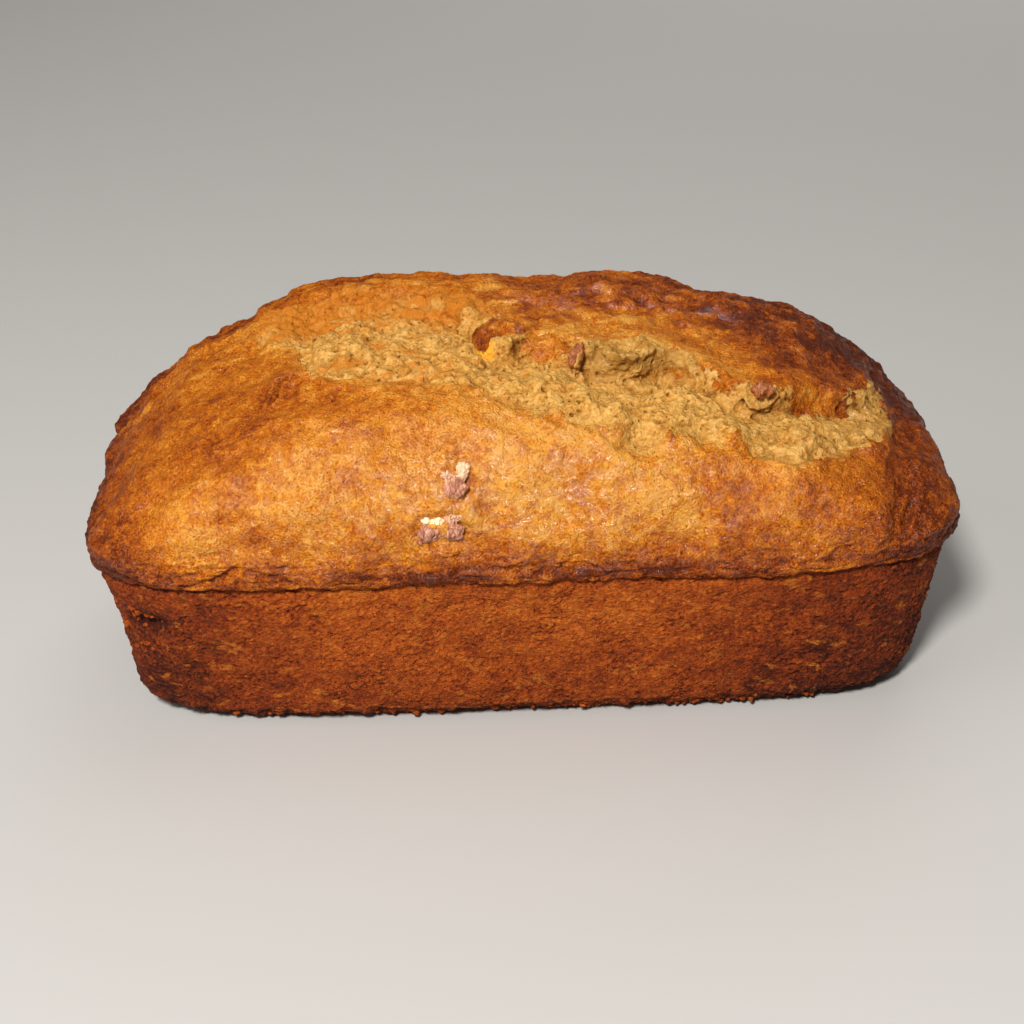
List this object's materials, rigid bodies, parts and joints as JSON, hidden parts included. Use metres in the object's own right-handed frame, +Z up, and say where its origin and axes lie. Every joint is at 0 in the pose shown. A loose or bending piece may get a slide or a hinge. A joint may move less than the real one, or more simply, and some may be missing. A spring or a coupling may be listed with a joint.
{
  "type": "tin loaf",
  "caption": "Walnut quick bread turned out of a loaf tin: flat base, tapered tin sides under a rounded lip, and a domed golden crust torn open along its top over pale crumb, with walnut pieces showing.",
  "frame": {"origin": "on the table under the middle of the loaf", "axes": "+X along the loaf, +Z up, -Y towards the long side whose crust holds two walnut pieces"},
  "size_m": [0.2288, 0.1236, 0.0943],
  "materials": {
    "crust": "baked crust: glossy golden brown on top, dull pitted red brown on the tin sides and base",
    "walnut": "toasted walnut: brown ribbed skin with pale broken faces",
    "crumb": "moist open crumb, dull, showing where the crust is torn"
  },
  "bodies": {
    "root": {"loaf": "crust", "walnut_low": "walnut", "walnut_high": "walnut", "walnut_split": "walnut", "walnut_crumb": "walnut"}
  },
  "joints": []
}
